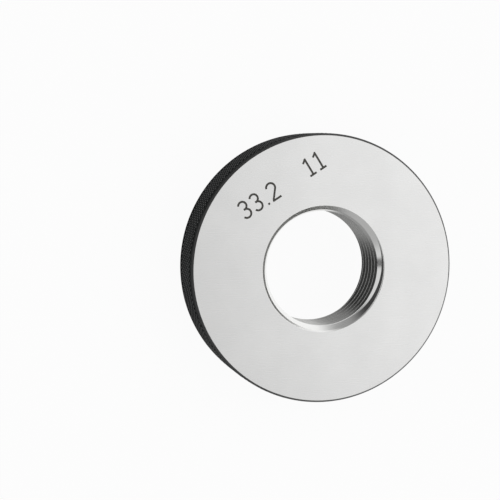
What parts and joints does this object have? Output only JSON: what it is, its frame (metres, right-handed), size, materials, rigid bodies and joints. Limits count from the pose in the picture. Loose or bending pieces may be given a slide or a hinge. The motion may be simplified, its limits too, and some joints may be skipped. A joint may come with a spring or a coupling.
{
  "type": "thread ring gauge",
  "caption": "Solid steel thread ring gauge: a thick flat ring with ground faces, a knurled blackened rim and a fine right-hand pipe thread in the bore.",
  "frame": {"origin": "centre of the bore axis in the plane of the lower face, on which the ring lies", "axes": "+Z along the bore axis, up through the marked face; +X towards the right-hand side of the ring with the marked face seen from above"},
  "size_m": [0.071, 0.071, 0.016],
  "materials": {
    "gauge_steel": "hardened gauge steel, faces and thread ground bright, rim knurled and chemically blackened"
  },
  "bodies": {
    "root": {"ring_body": "gauge_steel"}
  },
  "joints": []
}
